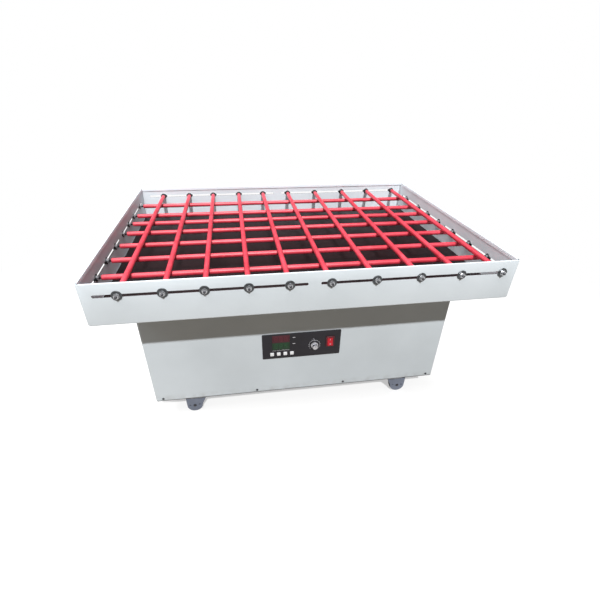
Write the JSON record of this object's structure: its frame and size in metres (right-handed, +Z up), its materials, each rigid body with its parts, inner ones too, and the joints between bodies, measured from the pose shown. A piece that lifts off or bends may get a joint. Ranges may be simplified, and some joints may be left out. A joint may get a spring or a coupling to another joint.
{
  "type": "rocking platform shaker",
  "caption": "Wide slotted tray with a grid of sliding red clamp bars that rocks on a box cabinet with a control panel, standing on swivel casters.",
  "frame": {"origin": "on the floor below the middle of the machine", "axes": "+X along the tray's long side, to the right seen from the control panel; -Y is the front with the control panel; +Z up"},
  "size_m": [1.024, 0.784, 0.549],
  "materials": {
    "white_paint": "semi-gloss powder coat with a fine texture",
    "frame_paint": "grey paint",
    "mat_rubber": "black ribbed rubber",
    "cast_housing": "painted casting",
    "bare_steel": "turned steel",
    "roller_plastic": "white nylon",
    "motor_paint": "satin black",
    "heat_sink": "plain extruded",
    "black_plastic": "fine texture",
    "switch_red": "glossy red",
    "panel_black": "satin black",
    "display_glass": "dark tinted window",
    "board_green": "solder mask",
    "knob_silver": "turned and anodised",
    "key_white": "smooth white",
    "caster_steel": "blue-grey zinc",
    "wheel_rubber": "dark grey rubber tread",
    "bar_red": "glossy red sleeve on a steel rod with zinc plated nuts"
  },
  "bodies": {
    "base": {"base_cover": "white_paint", "bottom_pan": "frame_paint", "base_frame": "frame_paint", "pillow_blocks": "cast_housing", "pivot_bearings": "bare_steel", "pillow_bolts": "bare_steel", "gear_motor": "motor_paint", "motor_stand": "frame_paint", "drive_unit": "heat_sink", "power_inlet": "black_plastic", "control_panel": "panel_black", "display_window": "display_glass", "control_board": "board_green", "power_switch": "black_plastic", "caster_plates": "caster_steel"},
    "platform": {"platform_frame": "frame_paint", "pivot_shaft": "bare_steel", "rocker_arm": "bare_steel", "tray": "white_paint", "rubber_mat": "mat_rubber"},
    "crank": {"crank_disc": "bare_steel", "crank_roller": "roller_plastic", "drive_shaft": "bare_steel"},
    "upper_bar_1": {"upper_bar_1": "bar_red"},
    "upper_bar_2": {"upper_bar_2": "bar_red"},
    "upper_bar_3": {"upper_bar_3": "bar_red"},
    "upper_bar_4": {"upper_bar_4": "bar_red"},
    "upper_bar_5": {"upper_bar_5": "bar_red"},
    "upper_bar_6": {"upper_bar_6": "bar_red"},
    "upper_bar_7": {"upper_bar_7": "bar_red"},
    "upper_bar_8": {"upper_bar_8": "bar_red"},
    "upper_bar_9": {"upper_bar_9": "bar_red"},
    "upper_bar_10": {"upper_bar_10": "bar_red"},
    "lower_bar_1": {"lower_bar_1": "bar_red"},
    "lower_bar_2": {"lower_bar_2": "bar_red"},
    "lower_bar_3": {"lower_bar_3": "bar_red"},
    "lower_bar_4": {"lower_bar_4": "bar_red"},
    "lower_bar_5": {"lower_bar_5": "bar_red"},
    "lower_bar_6": {"lower_bar_6": "bar_red"},
    "lower_bar_7": {"lower_bar_7": "bar_red"},
    "key_1": {"key_1": "key_white"},
    "key_2": {"key_2": "key_white"},
    "key_3": {"key_3": "key_white"},
    "key_4": {"key_4": "key_white"},
    "speed_knob": {"speed_knob": "knob_silver"},
    "power_rocker": {"power_rocker": "switch_red"},
    "caster_fork_1": {"caster_fork_1": "caster_steel"},
    "caster_wheel_1": {"caster_wheel_1": "wheel_rubber"},
    "caster_fork_2": {"caster_fork_2": "caster_steel"},
    "caster_wheel_2": {"caster_wheel_2": "wheel_rubber"},
    "caster_fork_3": {"caster_fork_3": "caster_steel"},
    "caster_wheel_3": {"caster_wheel_3": "wheel_rubber"},
    "caster_fork_4": {"caster_fork_4": "caster_steel"},
    "caster_wheel_4": {"caster_wheel_4": "wheel_rubber"}
  },
  "joints": [
    {"name": "platform_rock", "type": "hinge", "parent": "base", "child": "platform", "pos_m": [0, 0, 0.42], "axis": [1, 0, 0], "range_deg": [-7, 7]},
    {"name": "crank_turn", "type": "hinge", "parent": "base", "child": "crank", "pos_m": [0, 0, 0.31], "axis": [1, 0, 0], "range_deg": [-72, 72]},
    {"name": "upper_bar_1_slide", "type": "slide", "parent": "platform", "child": "upper_bar_1", "axis": [1, 0, 0], "range_m": [-0.03, 0.03]},
    {"name": "upper_bar_2_slide", "type": "slide", "parent": "platform", "child": "upper_bar_2", "axis": [1, 0, 0], "range_m": [-0.03, 0.03]},
    {"name": "upper_bar_3_slide", "type": "slide", "parent": "platform", "child": "upper_bar_3", "axis": [1, 0, 0], "range_m": [-0.03, 0.03]},
    {"name": "upper_bar_4_slide", "type": "slide", "parent": "platform", "child": "upper_bar_4", "axis": [1, 0, 0], "range_m": [-0.03, 0.03]},
    {"name": "upper_bar_5_slide", "type": "slide", "parent": "platform", "child": "upper_bar_5", "axis": [1, 0, 0], "range_m": [-0.03, 0.03]},
    {"name": "upper_bar_6_slide", "type": "slide", "parent": "platform", "child": "upper_bar_6", "axis": [1, 0, 0], "range_m": [-0.02, 0.03]},
    {"name": "upper_bar_7_slide", "type": "slide", "parent": "platform", "child": "upper_bar_7", "axis": [1, 0, 0], "range_m": [-0.03, 0.03]},
    {"name": "upper_bar_8_slide", "type": "slide", "parent": "platform", "child": "upper_bar_8", "axis": [1, 0, 0], "range_m": [-0.03, 0.03]},
    {"name": "upper_bar_9_slide", "type": "slide", "parent": "platform", "child": "upper_bar_9", "axis": [1, 0, 0], "range_m": [-0.03, 0.03]},
    {"name": "upper_bar_10_slide", "type": "slide", "parent": "platform", "child": "upper_bar_10", "axis": [1, 0, 0], "range_m": [-0.03, 0.008]},
    {"name": "lower_bar_1_slide", "type": "slide", "parent": "platform", "child": "lower_bar_1", "axis": [0, 1, 0], "range_m": [-0.025, 0.025]},
    {"name": "lower_bar_2_slide", "type": "slide", "parent": "platform", "child": "lower_bar_2", "axis": [0, 1, 0], "range_m": [-0.025, 0.025]},
    {"name": "lower_bar_3_slide", "type": "slide", "parent": "platform", "child": "lower_bar_3", "axis": [0, 1, 0], "range_m": [-0.025, 0.025]},
    {"name": "lower_bar_4_slide", "type": "slide", "parent": "platform", "child": "lower_bar_4", "axis": [0, 1, 0], "range_m": [-0.008, 0.025]},
    {"name": "lower_bar_5_slide", "type": "slide", "parent": "platform", "child": "lower_bar_5", "axis": [0, 1, 0], "range_m": [-0.025, 0.025]},
    {"name": "lower_bar_6_slide", "type": "slide", "parent": "platform", "child": "lower_bar_6", "axis": [0, 1, 0], "range_m": [-0.025, 0.025]},
    {"name": "lower_bar_7_slide", "type": "slide", "parent": "platform", "child": "lower_bar_7", "axis": [0, 1, 0], "range_m": [-0.025, 0.025]},
    {"name": "key_1_press", "type": "slide", "parent": "base", "child": "key_1", "axis": [0, 1, 0], "range_m": [0, 0.0012], "stiffness_N_per_m": 800, "springref_m": -0.0008},
    {"name": "key_2_press", "type": "slide", "parent": "base", "child": "key_2", "axis": [0, 1, 0], "range_m": [0, 0.0012], "stiffness_N_per_m": 800, "springref_m": -0.0008},
    {"name": "key_3_press", "type": "slide", "parent": "base", "child": "key_3", "axis": [0, 1, 0], "range_m": [0, 0.0012], "stiffness_N_per_m": 800, "springref_m": -0.0008},
    {"name": "key_4_press", "type": "slide", "parent": "base", "child": "key_4", "axis": [0, 1, 0], "range_m": [0, 0.0012], "stiffness_N_per_m": 800, "springref_m": -0.0008},
    {"name": "knob_turn", "type": "hinge", "parent": "base", "child": "speed_knob", "pos_m": [0.038, -0.24, 0.2375], "axis": [0, 1, 0], "range_deg": [-140, 140]},
    {"name": "rocker_tip", "type": "hinge", "parent": "base", "child": "power_rocker", "pos_m": [0.085, -0.2335, 0.246], "axis": [1, 0, 0], "range_deg": [0, 16]},
    {"name": "caster_1_swivel", "type": "hinge", "parent": "base", "child": "caster_fork_1", "pos_m": [-0.32, -0.205, 0.06], "axis": [0, 0, 1], "continuous": true},
    {"name": "caster_1_roll", "type": "hinge", "parent": "caster_fork_1", "child": "caster_wheel_1", "pos_m": [-0.33796, -0.20626, 0.025], "axis": [-0.0698, 0.9976, 0], "continuous": true},
    {"name": "caster_2_swivel", "type": "hinge", "parent": "base", "child": "caster_fork_2", "pos_m": [0.32, -0.205, 0.06], "axis": [0, 0, 1], "continuous": true},
    {"name": "caster_2_roll", "type": "hinge", "parent": "caster_fork_2", "child": "caster_wheel_2", "pos_m": [0.33796, -0.20626, 0.025], "axis": [-0.0698, -0.9976, 0], "continuous": true},
    {"name": "caster_3_swivel", "type": "hinge", "parent": "base", "child": "caster_fork_3", "pos_m": [-0.32, 0.205, 0.06], "axis": [0, 0, 1], "continuous": true},
    {"name": "caster_3_roll", "type": "hinge", "parent": "caster_fork_3", "child": "caster_wheel_3", "pos_m": [-0.32616, 0.18809, 0.025], "axis": [-0.9397, 0.342, 0], "continuous": true},
    {"name": "caster_4_swivel", "type": "hinge", "parent": "base", "child": "caster_fork_4", "pos_m": [0.32, 0.205, 0.06], "axis": [0, 0, 1], "continuous": true},
    {"name": "caster_4_roll", "type": "hinge", "parent": "caster_fork_4", "child": "caster_wheel_4", "pos_m": [0.33338, 0.19296, 0.025], "axis": [-0.6691, -0.7431, 0], "continuous": true}
  ],
  "couplings": [
    {"joint": "crank_turn", "follows": "platform_rock", "ratio": 10.2}
  ]
}
